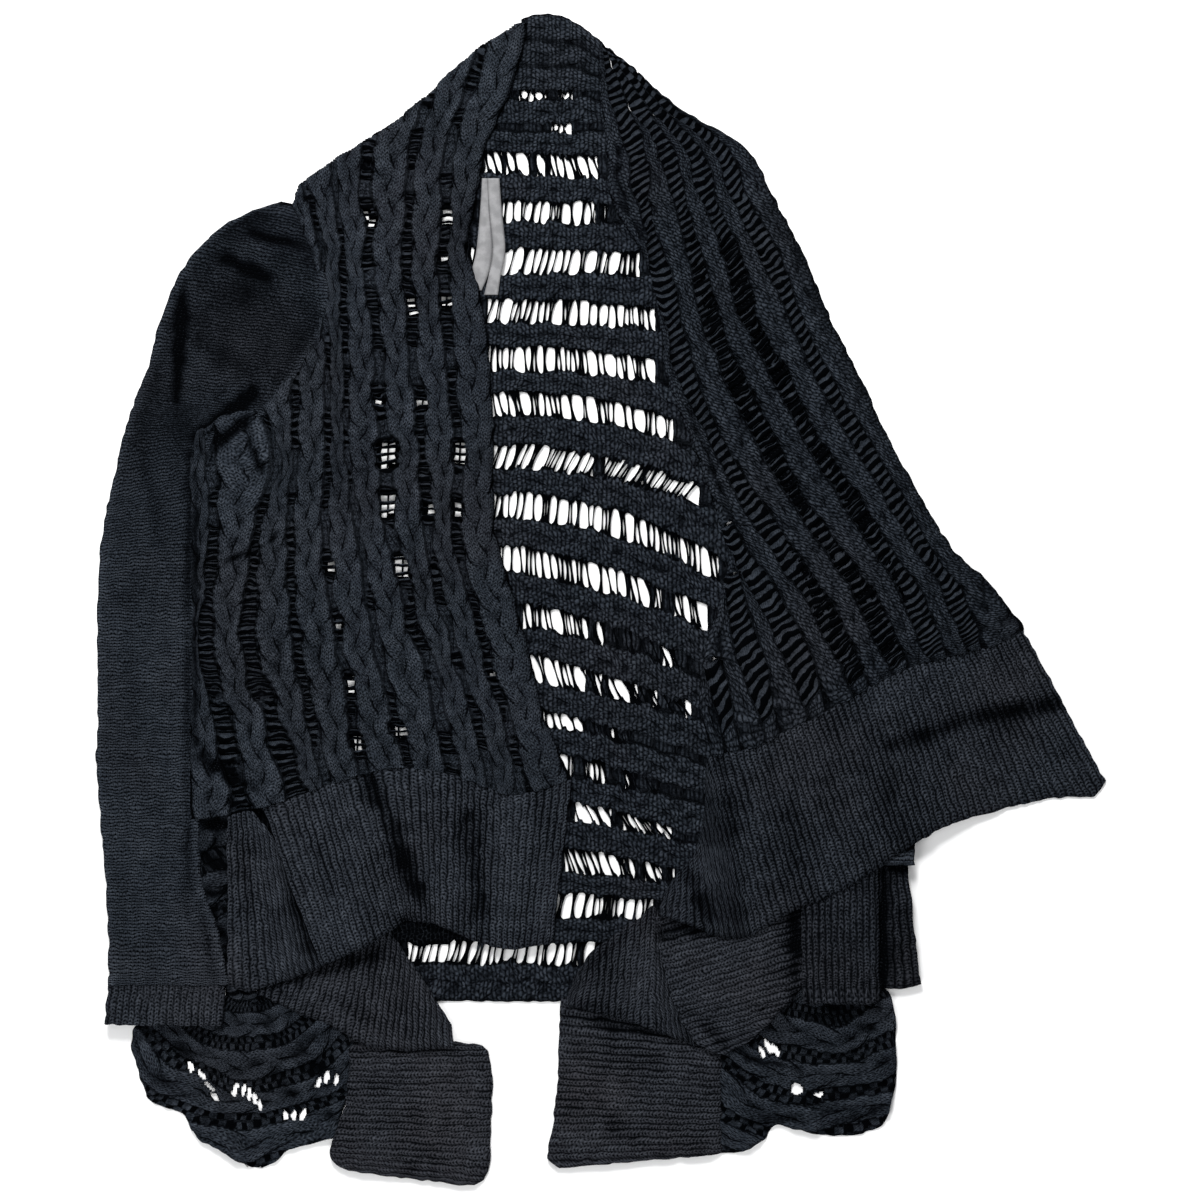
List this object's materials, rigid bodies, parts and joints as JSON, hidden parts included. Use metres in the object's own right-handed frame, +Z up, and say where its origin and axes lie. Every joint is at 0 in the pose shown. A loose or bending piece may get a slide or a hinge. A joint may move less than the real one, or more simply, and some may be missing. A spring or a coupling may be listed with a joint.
{
  "type": "cable knit cardigan laid flat",
  "caption": "Open-front cable knit cardigan laid out flat, with ladder stitch lace, plain sleeves and wide rib bands at its front edges.",
  "frame": {"origin": "under the middle of the garment's box, on the surface it lies on", "axes": "+X across the garment to the right of the picture, +Y up towards the neck, +Z up off the surface"},
  "size_m": [0.7576, 0.8801, 0.0164],
  "materials": {
    "cable_knit": "washed dark navy cotton yarn, matt",
    "plain_knit": "washed dark navy cotton stocking stitch, matt",
    "rib_knit": "washed dark navy cotton rib, faded on its ridges, matt",
    "ribbon": "plain grey woven ribbon, blank"
  },
  "bodies": {
    "root": {"back_panel": "cable_knit", "left_front": "cable_knit", "right_front": "cable_knit", "left_side_fold": "cable_knit", "left_cascade": "cable_knit", "right_cascade": "cable_knit", "left_band_front": "rib_knit", "left_band_under": "rib_knit", "left_band_turn": "rib_knit", "left_band_end": "rib_knit", "right_band_front": "rib_knit", "right_band_under": "rib_knit", "right_band_turn": "rib_knit", "right_band_end": "rib_knit", "left_sleeve": "plain_knit", "right_sleeve": "plain_knit", "left_cuff": "rib_knit", "right_cuff": "rib_knit", "right_cuff_fold": "rib_knit", "neck_label": "ribbon"}
  },
  "joints": []
}
